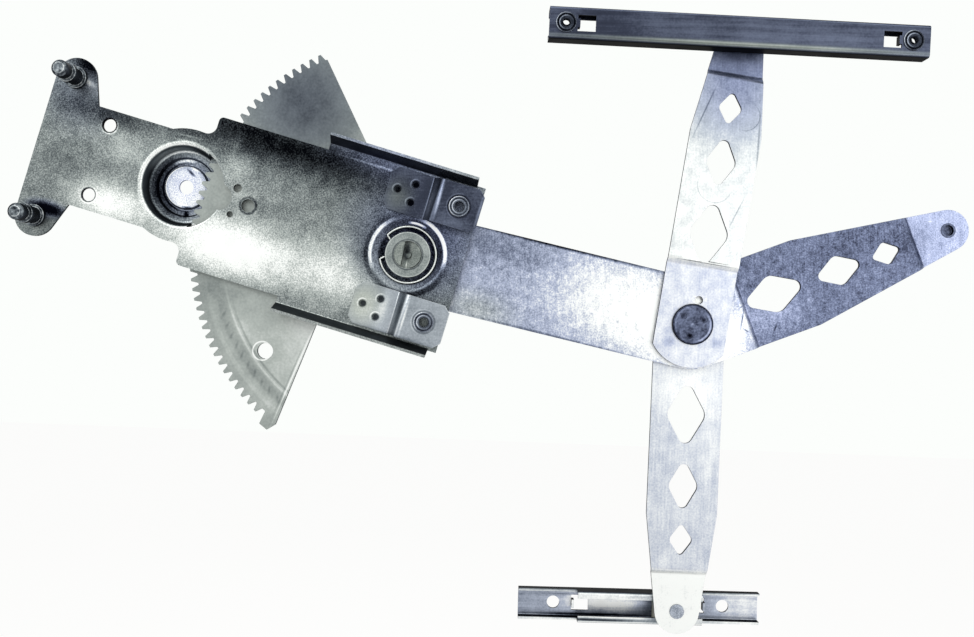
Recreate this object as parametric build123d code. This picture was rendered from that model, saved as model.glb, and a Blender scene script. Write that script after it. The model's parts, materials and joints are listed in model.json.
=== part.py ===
from build123d import *

import math
import os

os.makedirs("parts", exist_ok=True)

# Scissor window regulator for a car door, without its motor, in millimetres.
# X runs along the door, Y from the cabin towards the glass, Z up. The origin is
# the middle of the pinion pilot bore, on the cabin face of the motor cup's floor.
# "Depth" is a Y value. Angles are in degrees, anticlockwise as the cabin sees them.

# ---- driving dimensions -------------------------------------------------------

# gear mesh between the motor's pinion and the toothed sector
tooth_module = 2.0
sector_full_teeth = 139
pinion_teeth = 12
sector_teeth = 44
first_tooth_angle = 116.2
pressure_angle = 20.0
sector_thickness = 3.0
sector_hub_radius = 30.0
sector_neck_radius = 54.0
sector_hole_radius = 5.1
sector_hole_distance = 111.0
sector_hole_angle = 216.0
lug_height = 4.0
lug_angle = 3.0
upper_edge_offset = 6.3
upper_edge_angle = 117.3
lower_edge_offset = 37.9
lower_edge_angle = 249.9

# linkage, pivot to pivot
centre_line_angle = -14.85
main_to_scissor = 188.5
scissor_to_lift_pin = 180.0
scissor_to_upper_pin = 186.5
scissor_to_lower_pin = 188.1
inner_arm_angle = -11.5
outer_arm_angle = 22.1
upper_arm_angle = 82.4
lower_arm_angle = -90.3

# base plate, drawn along the centre line from pinion to main pivot
sheet = 2.0
ear_radius = 13.0
ear_u = -84.5
ear_v = 46.0
ear_side_angle = 22.0
neck_u = -66.0
neck_half_width = 33.0
bulge_radius = 36.7
body_u = 10.5
body_shoulder = 12.8
upper_flange_u = 83.0
lower_flange_u = 79.2
flange_margin = 5.5
plate_end_margin = 35.5
flange_end_margin = 30.0
flange_length = 11.0
flange_slope = 65.0
plate_corner_radius = 3.0
bulge_fillet = 6.0

# motor cup drawn into the base plate
cup_mouth_radius = 26.0
cup_foot_radius = 23.6
cup_ledge_depth = 8.5
cup_ledge_width = 4.1
cup_moat_depth = 11.0
cup_moat_width = 3.7
pilot_disc_radius = 13.4
pilot_depth = 9.0
pilot_radius = 4.7
cup_draft = 1.2
cup_bend_radius = 2.2
mesh_window_radius = 27.0
mesh_lobe_radius = 8.4
mesh_lobe_u = 24.5
motor_hole_radius = 4.2
motor_hole_u = -55.6
motor_hole_v = 23.2
front_motor_hole_u = 44.1
tooling_hole_radius = 2.0
locating_hole_radius = 2.7
small_hole_u = 34.6
small_hole_v = 8.7

# main pivot
seat_mouth_radius = 23.8
seat_floor_radius = 19.2
seat_depth = 2.2
seat_bend_radius = 5.0
post_radius = 8.6
post_height = 1.5
post_slot_width = 5.8
post_slot_depth = 4.0
post_slot_angle = 80.0
post_pip_radius = 2.3
post_pip_drop = 1.0
post_head_radius = 14.0
post_head_thickness = 2.0
bush_wall = 2.0
bush_flange_radius = 14.0
bush_flange_thickness = 0.6
pivot_washer_radius = 14.6
pivot_washer_thickness = 1.5
snap_ring_radius = 18.1
snap_ring_wire_radius = 0.7
snap_ring_gap_angle = 52.0
snap_ring_gap_middle = 164.0

# lift arm and its joints to the sector
lift_arm_thickness = 3.0
lift_arm_half_width = 29.2
lift_pad_radius = 13.6
lift_taper_start = 80.0
lift_step = 3.0
lift_step_at = 34.5
lift_pad_step_at = 154.0
sector_rivet_radius = 4.0
sector_rivet_circle = 21.0
sector_rivet_head = 1.5
sector_rivet_head_radius = 6.0
sector_rivets = 4

# equaliser arms, one blank used front and back, its pin end trimmed to suit
arm_thickness = 2.5
arm_half_width = 23.0
arm_taper_start = 124.0
arm_pad_radius = 14.6
arm_pivot_end_radius = 28.2
arm_step = 2.5
arm_step_at = 37.5
arm_pad_step_at = 160.5
joggle_run = 3.0
joggle_bend_radius = 1.5
slot_end_rounding = 0.2
slot_side_rounding = 0.33
pilot_hole_radius = 2.6
pilot_hole_distance = 16.0
pilot_hole_side = -1.5
scissor_shank_radius = 8.0
scissor_head_radius = 13.2
scissor_head_height = 2.6
scissor_head_chamfer = 0.8
scissor_tail_radius = 12.0
scissor_tail_height = 2.0
stake_radius = 1.9
stake_depth = 0.7
stake_circle = 7.9
stake_angles = (140.0, 24.0, 255.0)
scissor_washer_radius = 17.0
scissor_washer_thickness = 0.6

# diamond lightening slots: distance from the scissor pivot, half length and half width
# to the sharp corners, which are then rounded by shares of the half length
arm_diamonds = [(59.0, 23.6, 13.3), (105.6, 18.2, 10.1), (140.7, 11.2, 8.0)]
lift_diamonds = [(58.1, 22.8, 13.3), (103.0, 17.2, 10.6), (135.7, 10.4, 8.2)]

# pins and sliding shoes
pin_radius = 4.0
pin_head_radius = 4.8
pin_head_height = 0.6
pin_back_head_radius = 6.5
pin_back_head_height = 1.5
lift_pin_bore_radius = 3.4
lift_pin_bore_depth = 3.0
roller_radius = 11.0
roller_width = 8.0
roller_hub_radius = 6.6
roller_web = 3.0
roller_rim = 2.4
roller_clip_thickness = 1.2
roller_gap = 0.5
shoe_length = 28.0
shoe_neck_length = 20.0
shoe_edge_radius = 1.0
pin_end_gap = 1.0

# channels, one rolled section used for both
channel_height = 20.5
channel_depth = 13.0
channel_sheet = 1.6
channel_lip = 4.6
channel_bend_radius = 2.0
upper_channel_tilt = -0.8
upper_channel_length = 239.6
upper_channel_shift = -5.2
upper_nut_margin = 10.6
upper_window_from_nut = 13.0
lower_channel_tilt = 0.7
lower_channel_length = 160.0
lower_channel_shift = -23.4
lower_hole_margin = 23.4
lower_hole_radius = 4.2
lower_window_from_hole = 17.8
lower_lip_zone = 82.0
lower_end_flange = 7.0
window_length = 11.4
window_height = 10.2
tab_height = 5.4
tab_depth = 5.0

# brackets and nuts that carry the plate on the door's inner panel
bracket_start = 126.0
bracket_end = 188.0
bracket_v = 38.2
bracket_half_width = 14.0
bracket_step_at = 153.5
bracket_step_run = 5.5
bracket_chamfer = 4.0
panel_gap = 9.5
bracket_nut_u = 174.0
nut_flange_radius = 6.5
nut_flange_thickness = 0.8
nut_barrel_radius = 5.4
nut_barrel_length = 4.5
bracket_thread_radius = 3.4
channel_thread_radius = 2.5
dimple_radius = 3.3
dimple_recess_radius = 2.3
dimple_depth = 1.2
dimple_recess_depth = 3.0
dimple_u = 139.7
dimple_circle = 6.9
dimples = 3

# studs on the plate's ears
stud_length = 27.0
stud_radius = 5.2
stud_neck_radius = 4.2
stud_collar_radius = 6.2
stud_foot_radius = 7.0
stud_foot_height = 3.0
stud_tip_length = 8.0
stud_groove = 2.5
stud_collar_length = 4.0
stud_tail_radius = 6.8
stud_tail_height = 1.5

# clearances
running = 0.05
face_gap = 0.3
close_gap = 0.1
shoe_gap = 0.3
channel_gap = 0.7
mesh_gap = 0.8
tooth_tip_gap = 1.5
bottom_clearance = 0.25
overcut = 1.0

# ---- worked-out sizes -----------------------------------------------------------

pitch_radius = tooth_module * sector_full_teeth / 2
tip_radius = pitch_radius + tooth_module
root_radius = pitch_radius - (1 + bottom_clearance) * tooth_module
tooth_pitch_angle = 360 / sector_full_teeth
centre_distance = tooth_module * (sector_full_teeth + pinion_teeth) / 2
last_tooth_angle = first_tooth_angle + (sector_teeth - 1) * tooth_pitch_angle

# depths, from the cabin to the glass
plate_front = -pilot_depth
plate_back = plate_front + sheet
seat_front = plate_front + seat_depth
seat_back = seat_front + sheet
sector_front = seat_back + face_gap
sector_back = sector_front + sector_thickness
lift_front = sector_back
lift_back = lift_front + lift_arm_thickness
scissor_gap = scissor_washer_thickness + 2 * close_gap
upper_arm_front = lift_front - scissor_gap - arm_thickness
upper_arm_back = upper_arm_front + arm_thickness
lower_arm_front = lift_back + scissor_gap
lower_arm_back = lower_arm_front + arm_thickness
lower_pad_front = lower_arm_front + arm_step
lower_pad_back = lower_pad_front + arm_thickness
lift_pad_front = lift_front + 2 * lift_step
lift_pad_back = lift_pad_front + lift_arm_thickness
panel_depth = plate_front - panel_gap
upper_span_front = upper_arm_front - arm_step
upper_channel_back = upper_span_front - channel_gap
upper_channel_front = upper_channel_back - channel_depth
lower_channel_front = lower_pad_back + channel_gap
roller_front = lift_pad_back + roller_gap
roller_back = roller_front + roller_width
lower_channel_back = lower_channel_front + channel_depth

# the plate's width round the cup, and its far end from the pinion's axis
body_half_width = bulge_radius + body_shoulder
flange_half_width = body_half_width + flange_margin
plate_end_u = centre_distance + plate_end_margin
flange_end_u = centre_distance + flange_end_margin

# the shoe's section, inside the channel and through its mouth
shoe_height = channel_height - 2 * channel_sheet - 2 * shoe_gap
shoe_depth = channel_depth - 2 * channel_sheet - 2 * shoe_gap
shoe_neck_height = channel_height - 2 * channel_lip - 2 * shoe_gap

# nuts, holes and windows, measured from the channels' ends
nut_length = nut_flange_thickness + nut_barrel_length
upper_nut_middle = upper_channel_length / 2 - upper_nut_margin
upper_window_middle = upper_nut_middle - upper_window_from_nut
lower_hole_middle = lower_channel_length / 2 - lower_hole_margin
lower_window_middle = lower_hole_middle - lower_window_from_hole


def polar(radius, angle):
    """Point at a distance and an angle from the origin."""
    return (radius * math.cos(math.radians(angle)), radius * math.sin(math.radians(angle)))


def moved(point, radius, angle):
    """Point at a distance and an angle from another point."""
    step = polar(radius, angle)
    return (point[0] + step[0], point[1] + step[1])


main_pivot = polar(centre_distance, centre_line_angle)
scissor_pivot = moved(main_pivot, main_to_scissor, inner_arm_angle)
lift_pin_axis = moved(scissor_pivot, scissor_to_lift_pin, outer_arm_angle)
upper_pin_axis = moved(scissor_pivot, scissor_to_upper_pin, upper_arm_angle)
lower_pin_axis = moved(scissor_pivot, scissor_to_lower_pin, lower_arm_angle)


# ---- building blocks ------------------------------------------------------------


def frame_at(point, angle=0.0):
    """Frame facing the cabin: local x along the angle, local z towards the cabin."""
    direction = polar(1.0, angle)
    plane = Plane(
        origin=(point[0], 0, point[1]),
        x_dir=(direction[0], 0, direction[1]),
        z_dir=(0, -1, 0),
    )
    return plane.location


def slab(outline, front, thickness):
    """Flat piece of the outline's shape, its cabin face at depth front."""
    return Pos(0, 0, -(front + thickness)) * extrude(outline, amount=thickness)


def disc(radius, front, thickness):
    """Round slab about the local origin."""
    return slab(Circle(radius), front, thickness)


def drill(radius, front, thickness):
    """Cutter for a round hole through a piece whose cabin face is at depth front."""
    return disc(radius, front - overcut, thickness + 2 * overcut)


def turned(points, bends=(), bend_radius=0.0):
    """Solid of revolution about local z, from (radius, depth) points."""
    outline = make_face(Polyline([(r, -depth) for r, depth in points], close=True))
    if bends:
        outline = rounded(outline, [(points[i][0], -points[i][1]) for i in bends], bend_radius)
    return revolve(Plane.XZ * outline, axis=Axis.Z)


def nearest_corner(outline, point):
    """The outline's corner closest to a point."""
    return min(outline.vertices(), key=lambda v: math.hypot(v.X - point[0], v.Y - point[1]))


def rounded(outline, points, radius):
    """The outline with the corners at the given points rounded."""
    return fillet([nearest_corner(outline, p) for p in points], radius=radius)


def slope_to(start, end):
    """Rise over run between two points."""
    return (end[1] - start[1]) / (end[0] - start[0])


def ribbon(stations, thickness, half_width):
    """Strip whose cabin face follows (distance, depth) stations, bent round a tool's radius."""
    front = [(s, -depth) for s, depth in stations]
    back = [(s, -depth - thickness) for s, depth in stations]
    side = make_face(Polyline(front + back[::-1], close=True))
    for i in range(1, len(stations) - 1):
        hollow, crown = front[i], back[i]
        if slope_to(front[i], front[i + 1]) < slope_to(front[i - 1], front[i]):
            hollow, crown = crown, hollow
        side = rounded(side, [hollow], joggle_bend_radius)
        side = rounded(side, [crown], joggle_bend_radius + thickness)
    return extrude(Plane.XZ * side, amount=half_width, both=True)


def joggled(outline, stations, thickness):
    """Sheet piece of the outline's shape, bent to follow the stations."""
    box = outline.bounding_box()
    half_width = max(abs(box.min.Y), abs(box.max.Y)) + overcut
    depths = [depth for _, depth in stations]
    front = min(depths) - overcut
    blank = slab(outline, front, max(depths) + thickness + overcut - front)
    return blank & ribbon(stations, thickness, half_width)


def diamond(distance, half_length, half_width):
    """Four-cornered lightening slot, rounder at its sides than at its ends."""
    corners = [(-half_length, 0), (0, half_width), (half_length, 0), (0, -half_width)]
    outline = make_face(Polyline(corners, close=True))
    for axis, share in ((Axis.X, slot_end_rounding), (Axis.Y, slot_side_rounding)):
        points = outline.vertices().sort_by(axis)
        outline = fillet([points[0], points[-1]], radius=share * half_length)
    return Pos(distance, 0) * outline


def tapered_arm(half_width, start, taper_start, length, pad_radius):
    """Arm outline from start to the round pad about the pin at length."""
    reach = length - taper_start
    lean = math.degrees(math.atan2(half_width - pad_radius, reach))
    tangent = (
        length + pad_radius * math.sin(math.radians(lean)),
        pad_radius * math.cos(math.radians(lean)),
    )
    side = [(start, half_width), (taper_start, half_width), tangent]
    mirrored = [(x, -y) for x, y in reversed(side)]
    return make_face(Polyline(side + mirrored, close=True)) + Pos(length, 0) * Circle(pad_radius)


# ---- base plate -----------------------------------------------------------------


def plate_outline():
    """Flat outline of the base plate, along the line from pinion to main pivot."""
    ear_side = moved((ear_u, ear_v), ear_radius, ear_side_angle)
    ear_points = [
        (ear_u - ear_radius, ear_v),
        (ear_u, ear_v + ear_radius),
        ear_side,
        (neck_u, neck_half_width),
    ]
    ears = make_face(
        Polyline(ear_points + [(u, -v) for u, v in reversed(ear_points)], close=True)
    )
    for side in (1, -1):
        ears += Pos(ear_u, side * ear_v) * Circle(ear_radius)
    neck_length = 2 * overcut - neck_u
    neck = Pos(-neck_length / 2, 0) * Rectangle(neck_length, 2 * neck_half_width)
    body = Pos((body_u + plate_end_u) / 2, 0) * Rectangle(
        plate_end_u - body_u, 2 * body_half_width
    )
    outline = ears + neck + Circle(bulge_radius) + body
    for side, start in ((1, upper_flange_u), (-1, lower_flange_u)):
        strip = Rectangle(plate_end_u - start, flange_half_width)
        outline += Pos((start + plate_end_u) / 2, side * flange_half_width / 2) * strip
    meet_v = math.sqrt(bulge_radius**2 - body_u**2)
    inner = [(body_u, side * meet_v) for side in (1, -1)]
    outline = rounded(outline, inner, bulge_fillet)
    outer = [(body_u, side * body_half_width) for side in (1, -1)]
    return rounded(outline, outer, plate_corner_radius)


def plate_flange(side, start):
    """Stiffening flange along one long edge, leaning out towards the cabin."""
    slope = math.radians(flange_slope)
    along = (math.cos(slope), math.sin(slope))
    inward = (-math.sin(slope), math.cos(slope))
    foot = (flange_half_width, -plate_back)
    tip = (foot[0] + flange_length * along[0], foot[1] + flange_length * along[1])
    lip = (tip[0] + sheet * inward[0], tip[1] + sheet * inward[1])
    back = (lip[1] + plate_front) / along[1]
    root = (lip[0] - back * along[0], -plate_front)
    overlap = 2 * sheet
    points = [
        (foot[0] - overlap, foot[1]),
        foot,
        tip,
        lip,
        root,
        (root[0] - overlap, root[1]),
    ]
    section = make_face(Polyline(points, close=True))
    section = rounded(section, [foot], sheet)
    section = rounded(section, [root], sheet / 2)
    plane = Plane(origin=(start, 0, 0), x_dir=(0, 1, 0), z_dir=(1, 0, 0))
    flange = extrude(plane * section, amount=flange_end_u - start)
    if side < 0:
        flange = mirror(flange, about=Plane.XZ)
    return flange


def motor_cup():
    """Stepped cup drawn towards the glass round the pinion, with its pilot disc."""
    ledge_front = plate_front + cup_ledge_depth
    moat_front = plate_front + cup_moat_depth
    ledge_inner = cup_foot_radius - cup_ledge_width
    moat_outer = ledge_inner - cup_draft
    moat_inner = moat_outer - cup_moat_width
    points = [
        (0, plate_front + pilot_depth),
        (pilot_disc_radius, plate_front + pilot_depth),
        (moat_inner, moat_front),
        (moat_outer, moat_front),
        (ledge_inner, ledge_front),
        (cup_foot_radius, ledge_front),
        (cup_mouth_radius, plate_front),
        (bulge_radius - sheet, plate_front),
        (bulge_radius - sheet, plate_back),
        (cup_mouth_radius + sheet, plate_back),
        (cup_foot_radius + sheet, ledge_front + sheet),
        (ledge_inner + sheet, ledge_front + sheet),
        (moat_outer + sheet, moat_front + sheet),
        (moat_inner - sheet, moat_front + sheet),
        (pilot_disc_radius - sheet, plate_front + pilot_depth + sheet),
        (0, plate_front + pilot_depth + sheet),
    ]
    return turned(points, bends=(5, 6, 9, 10), bend_radius=cup_bend_radius)


def mesh_window():
    """Room for the sector's teeth: through the cup's wall and the plate in front."""
    opening = Circle(mesh_window_radius) + Pos(mesh_lobe_u, 0) * Circle(mesh_lobe_radius)
    cup_outside = Circle(cup_mouth_radius + sheet + mesh_gap)
    sweep = Pos(centre_distance, 0) * Circle(tip_radius + tooth_tip_gap)
    front = plate_front - overcut
    back = sector_back + mesh_gap
    window = slab(opening & sweep, front, back - front)
    return window + slab(cup_outside & sweep, plate_back, back - plate_back)


def pivot_seat():
    """Shallow dish round the main pivot, drawn towards the sector."""
    bore = post_radius + running + bush_wall + running
    points = [
        (bore, seat_front),
        (seat_floor_radius, seat_front),
        (seat_mouth_radius, plate_front),
        (seat_mouth_radius + 2 * sheet, plate_front),
        (seat_mouth_radius + 2 * sheet, plate_back),
        (seat_mouth_radius + sheet / 2, plate_back),
        (seat_floor_radius + sheet / 2, seat_back),
        (bore, seat_back),
    ]
    return turned(points, bends=(1, 2, 5, 6), bend_radius=seat_bend_radius)


def plate_holes():
    """Motor screw holes, tooling holes and stud holes, as cutting cylinders."""
    places = [(motor_hole_u, side * motor_hole_v, motor_hole_radius) for side in (1, -1)]
    places += [(front_motor_hole_u, 0, motor_hole_radius)]
    places += [(small_hole_u, small_hole_v, locating_hole_radius)]
    places += [(small_hole_u, -small_hole_v, tooling_hole_radius)]
    places += [(ear_u, side * ear_v, stud_radius) for side in (1, -1)]
    depth = 4 * sheet
    return [Pos(u, v) * disc(radius, plate_front - sheet, depth) for u, v, radius in places]


def bracket_dimple_places(side):
    """Clinch points that hold one bracket on the plate."""
    places = []
    for i in range(dimples):
        du, dv = polar(dimple_circle, 180 + i * 360 / dimples)
        places.append((dimple_u + du, side * bracket_v + dv))
    return places


def base_plate():
    """Pressed carrier plate: ears, motor cup, pivot seat and edge flanges."""
    plate = slab(plate_outline(), plate_front, sheet)
    plate += plate_flange(1, upper_flange_u)
    plate += plate_flange(-1, lower_flange_u)
    cup_blank = drill(bulge_radius - 2 * sheet, plate_front, sheet)
    plate -= cup_blank
    plate += motor_cup()
    seat_place = Pos(centre_distance, 0)
    plate -= seat_place * drill(seat_mouth_radius + sheet, plate_front, sheet)
    plate += seat_place * pivot_seat()
    plate -= mesh_window()
    plate -= disc(pilot_radius, -sheet, 4 * sheet)
    for hole in plate_holes():
        plate -= hole
    for side in (1, -1):
        for u, v in bracket_dimple_places(side):
            plate -= Pos(u, v) * drill(dimple_radius, plate_front, sheet)
    return frame_at((0, 0), centre_line_angle) * plate


# ---- brackets, nuts and studs on the plate ----------------------------------------


def bracket(side):
    """Joggled strap: clinched foot on the plate, raised pad at the door's inner panel."""
    corners = [
        (bracket_start, -bracket_half_width),
        (bracket_start, bracket_half_width),
        (bracket_end, bracket_half_width),
        (bracket_end, -bracket_half_width),
    ]
    outline = make_face(Polyline(corners, close=True))
    outline = chamfer(outline.vertices(), length=bracket_chamfer)
    foot_front = plate_front - sheet
    stations = [
        (bracket_start - overcut, foot_front),
        (bracket_step_at, foot_front),
        (bracket_step_at + bracket_step_run, panel_depth),
        (bracket_end + overcut, panel_depth),
    ]
    strap = joggled(outline, stations, sheet)
    nut_hole = nut_barrel_radius + running
    strap -= Pos(bracket_nut_u, 0) * drill(nut_hole, panel_depth, sheet)
    strap = Pos(0, side * bracket_v) * strap
    for u, v in bracket_dimple_places(side):
        place = Pos(u, v)
        strap += place * disc(dimple_radius - running, foot_front, 2 * sheet + dimple_depth)
        strap -= place * disc(dimple_recess_radius, foot_front - overcut, dimple_recess_depth + overcut)
    return frame_at((0, 0), centre_line_angle) * strap


def clinch_nut(front, thread_radius):
    """Round press nut: thin flange on the cabin face, threaded barrel behind it."""
    nut = disc(nut_flange_radius, front - nut_flange_thickness, nut_flange_thickness)
    nut += disc(nut_barrel_radius, front, nut_barrel_length)
    return nut - drill(thread_radius, front - nut_flange_thickness, nut_length)


def bracket_nut(side):
    """Nut in one bracket's raised pad, its flange flush with the inner panel."""
    nut = clinch_nut(panel_depth, bracket_thread_radius)
    plate_frame = frame_at((0, 0), centre_line_angle)
    return plate_frame * (Pos(bracket_nut_u, side * bracket_v) * nut)


def door_stud(side):
    """Shouldered locating stud riveted into one ear, pointing at the cabin."""
    tip = plate_front - stud_length
    bulb_end = tip + stud_tip_length
    collar_start = bulb_end + stud_groove
    collar_end = collar_start + stud_collar_length
    foot_start = plate_front - stud_foot_height
    chamfer_size = stud_radius - stud_neck_radius
    points = [
        (0, tip),
        (stud_neck_radius - chamfer_size, tip),
        (stud_radius, tip + 2 * chamfer_size),
        (stud_radius, bulb_end),
        (stud_neck_radius, bulb_end + chamfer_size),
        (stud_neck_radius, collar_start),
        (stud_collar_radius, collar_start),
        (stud_collar_radius, collar_end),
        (stud_radius, collar_end),
        (stud_radius, foot_start),
        (stud_foot_radius, foot_start),
        (stud_foot_radius, plate_front),
        (stud_radius - running, plate_front),
        (stud_radius - running, plate_back),
        (stud_tail_radius, plate_back),
        (stud_tail_radius, plate_back + stud_tail_height),
        (0, plate_back + stud_tail_height),
    ]
    plate_frame = frame_at((0, 0), centre_line_angle)
    return plate_frame * (Pos(ear_u, side * ear_v) * turned(points))


# ---- main pivot -------------------------------------------------------------------


def pivot_post():
    """Slotted pivot post fixed in the lift arm, with a round head on the glass side."""
    front = plate_front - post_height
    post = disc(post_radius, front, lift_back - front)
    post += disc(post_head_radius, lift_back, post_head_thickness)
    slot = Rot(0, 0, post_slot_angle) * Rectangle(3 * post_radius, post_slot_width)
    post -= slab(slot, front - overcut, post_slot_depth + overcut)
    post += disc(post_pip_radius, front + post_pip_drop, post_slot_depth)
    return frame_at(main_pivot) * post


def pivot_bush():
    """Flanged bearing bush pressed into the plate's seat."""
    inner = post_radius + running
    bush = disc(inner + bush_wall, seat_front, sheet)
    bush += disc(bush_flange_radius, seat_front - bush_flange_thickness, bush_flange_thickness)
    bush -= disc(inner, seat_front - sheet, 3 * sheet)
    return frame_at(main_pivot) * bush


def pivot_washer():
    """Retaining washer swaged on the post, running on the bush's flange."""
    back = seat_front - bush_flange_thickness - close_gap
    front = back - pivot_washer_thickness
    washer = disc(pivot_washer_radius, front, pivot_washer_thickness)
    washer -= drill(post_radius + running, front, pivot_washer_thickness)
    return frame_at(main_pivot) * washer


def pivot_snap_ring():
    """Split wire ring lying in the seat round the washer."""
    middle = seat_front - snap_ring_wire_radius - close_gap
    start = snap_ring_gap_middle + snap_ring_gap_angle / 2
    sweep_angle = 360 - snap_ring_gap_angle
    wire = Pos(snap_ring_radius, 0, 0) * (Plane.XZ * Circle(snap_ring_wire_radius))
    ring = revolve(wire, axis=Axis.Z, revolution_arc=sweep_angle)
    return frame_at(main_pivot) * (Pos(0, 0, -middle) * (Rot(0, 0, start) * ring))


# ---- toothed sector and lift arm ----------------------------------------------------


def tooth_points(angle):
    """Root, tip, tip and root of one tooth, anticlockwise."""
    flank = math.tan(math.radians(pressure_angle))
    half_pitch_width = math.pi * tooth_module / 4
    tip_half = half_pitch_width - flank * (tip_radius - pitch_radius)
    root_half = half_pitch_width + flank * (pitch_radius - root_radius)
    tip_turn = math.degrees(tip_half / tip_radius)
    root_turn = math.degrees(root_half / root_radius)
    return [
        polar(root_radius, angle - root_turn),
        polar(tip_radius, angle - tip_turn),
        polar(tip_radius, angle + tip_turn),
        polar(root_radius, angle + root_turn),
    ]


def edge_point(radius, offset, angle):
    """Where a straight edge, offset clockwise from the pivot, crosses a circle."""
    turn = math.degrees(math.asin(offset / radius))
    return polar(radius, angle - turn)


def rivet_places():
    """Rivets between sector and lift arm, about the main pivot."""
    step = 360 / sector_rivets
    return [polar(sector_rivet_circle, step * (i + 0.5)) for i in range(sector_rivets)]


def sector_gear():
    """Toothed sector: a flat wedge about the main pivot with a stop lug at its foot."""
    points = [edge_point(root_radius, upper_edge_offset, upper_edge_angle)]
    for i in range(sector_teeth):
        points += tooth_points(first_tooth_angle + i * tooth_pitch_angle)
    lug_start = last_tooth_angle + tooth_pitch_angle
    lug_radius = tip_radius + lug_height
    neck = edge_point(sector_neck_radius, lower_edge_offset, lower_edge_angle)
    neck_angle = math.degrees(math.atan2(neck[1], neck[0]))
    hub_turn = math.degrees(math.acos(sector_hub_radius / sector_neck_radius))
    points += [
        polar(root_radius, lug_start - lug_angle / 6),
        polar(lug_radius, lug_start + lug_angle / 6),
        polar(lug_radius, lug_start + lug_angle),
        edge_point(pitch_radius, lower_edge_offset, lower_edge_angle),
        neck,
        polar(sector_hub_radius, neck_angle + hub_turn),
        polar(upper_edge_offset, upper_edge_angle - 90),
    ]
    outline = make_face(Polyline(points, close=True)) + Circle(sector_hub_radius)
    outline -= Circle(post_radius + running)
    outline -= Pos(*polar(sector_hole_distance, sector_hole_angle)) * Circle(sector_hole_radius)
    gear = slab(outline, sector_front, sector_thickness)
    for place in rivet_places():
        hole = drill(sector_rivet_radius + running, sector_front, sector_thickness)
        gear -= Rot(0, 0, inner_arm_angle) * (Pos(*place) * hole)
    return frame_at(main_pivot) * gear


def sector_rivet_set():
    """Rivets that hold the sector on the lift arm, flush on the cabin face."""
    rivet = disc(sector_rivet_radius, sector_front, lift_back - sector_front)
    rivet += disc(sector_rivet_head_radius, lift_back, sector_rivet_head)
    frame = frame_at(main_pivot, inner_arm_angle)
    return Compound(children=[frame * (Pos(*place) * rivet) for place in rivet_places()])


def lift_arm():
    """Bent lift arm from the main pivot past the scissor pivot to its glass pin."""
    inner = Circle(lift_arm_half_width)
    inner += Pos(main_to_scissor / 2, 0) * Rectangle(main_to_scissor, 2 * lift_arm_half_width)
    inner += Pos(main_to_scissor, 0) * Circle(lift_arm_half_width)
    inner_part = frame_at(main_pivot, inner_arm_angle) * slab(
        inner, lift_front, lift_arm_thickness
    )
    outer = tapered_arm(
        lift_arm_half_width, 0, lift_taper_start, scissor_to_lift_pin, lift_pad_radius
    )
    for distance, half_length, half_width in lift_diamonds:
        outer -= diamond(distance, half_length, half_width)
    stations = [
        (-1, lift_front),
        (lift_step_at, lift_front),
        (lift_step_at + joggle_run, lift_front + lift_step),
        (lift_pad_step_at, lift_front + lift_step),
        (lift_pad_step_at + joggle_run, lift_pad_front),
        (scissor_to_lift_pin + lift_pad_radius + overcut, lift_pad_front),
    ]
    outer_part = frame_at(scissor_pivot, outer_arm_angle) * joggled(
        outer, stations, lift_arm_thickness
    )
    arm = inner_part + outer_part
    arm -= frame_at(main_pivot) * drill(post_radius + running, lift_front, lift_arm_thickness)
    for place in rivet_places():
        hole = drill(sector_rivet_radius + running, lift_front, lift_arm_thickness)
        arm -= frame_at(main_pivot, inner_arm_angle) * (Pos(*place) * hole)
    shank_hole = drill(scissor_shank_radius + running, lift_front, lift_arm_thickness)
    arm -= frame_at(scissor_pivot) * shank_hole
    pin_hole = drill(pin_radius + running, lift_pad_front, lift_arm_thickness)
    arm -= frame_at(lift_pin_axis) * pin_hole
    return arm


def lift_pin():
    """Hollow-headed pin riveted in the lift arm's end, carrying the glass roller."""
    end = roller_back + running + roller_clip_thickness
    head_front = lift_pad_front - pin_head_height
    pin = disc(pin_radius, lift_pad_front, end - lift_pad_front)
    pin += disc(pin_head_radius, head_front, pin_head_height)
    pin -= disc(lift_pin_bore_radius, head_front - overcut, lift_pin_bore_depth + overcut)
    return frame_at(lift_pin_axis) * pin


def lift_roller():
    """Nylon roller that runs in the glass channel, with a recessed outer face."""
    roller = disc(roller_radius, roller_front, roller_width)
    recess = disc(roller_radius - roller_rim, roller_front + roller_web, roller_width)
    recess -= disc(roller_hub_radius, roller_front, 2 * roller_width)
    roller -= recess
    roller -= drill(pin_radius + running, roller_front, roller_width)
    return frame_at(lift_pin_axis) * roller


def lift_roller_clip():
    """Push-on clip that keeps the roller on its pin."""
    clip = disc(roller_hub_radius, roller_back + close_gap, roller_clip_thickness)
    clip -= disc(pin_radius + running, roller_back - overcut, roller_clip_thickness + 3 * overcut)
    return frame_at(lift_pin_axis) * clip


# ---- equaliser arms and the scissor pivot --------------------------------------------


def equaliser_outline(pin_distance):
    """Flat blank of an equaliser arm, from its pivot end to its pin pad."""
    pivot_end = Circle(arm_pivot_end_radius)
    pivot_end &= Rectangle(3 * arm_pivot_end_radius, 2 * arm_half_width)
    outline = pivot_end + tapered_arm(
        arm_half_width, 0, arm_taper_start, pin_distance, arm_pad_radius
    )
    outline -= Circle(scissor_shank_radius + running)
    outline -= Pos(pilot_hole_distance, pilot_hole_side) * Circle(pilot_hole_radius)
    outline -= Pos(pin_distance, 0) * Circle(pin_radius + running)
    for distance, half_length, half_width in arm_diamonds:
        outline -= diamond(distance, half_length, half_width)
    return outline


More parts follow.
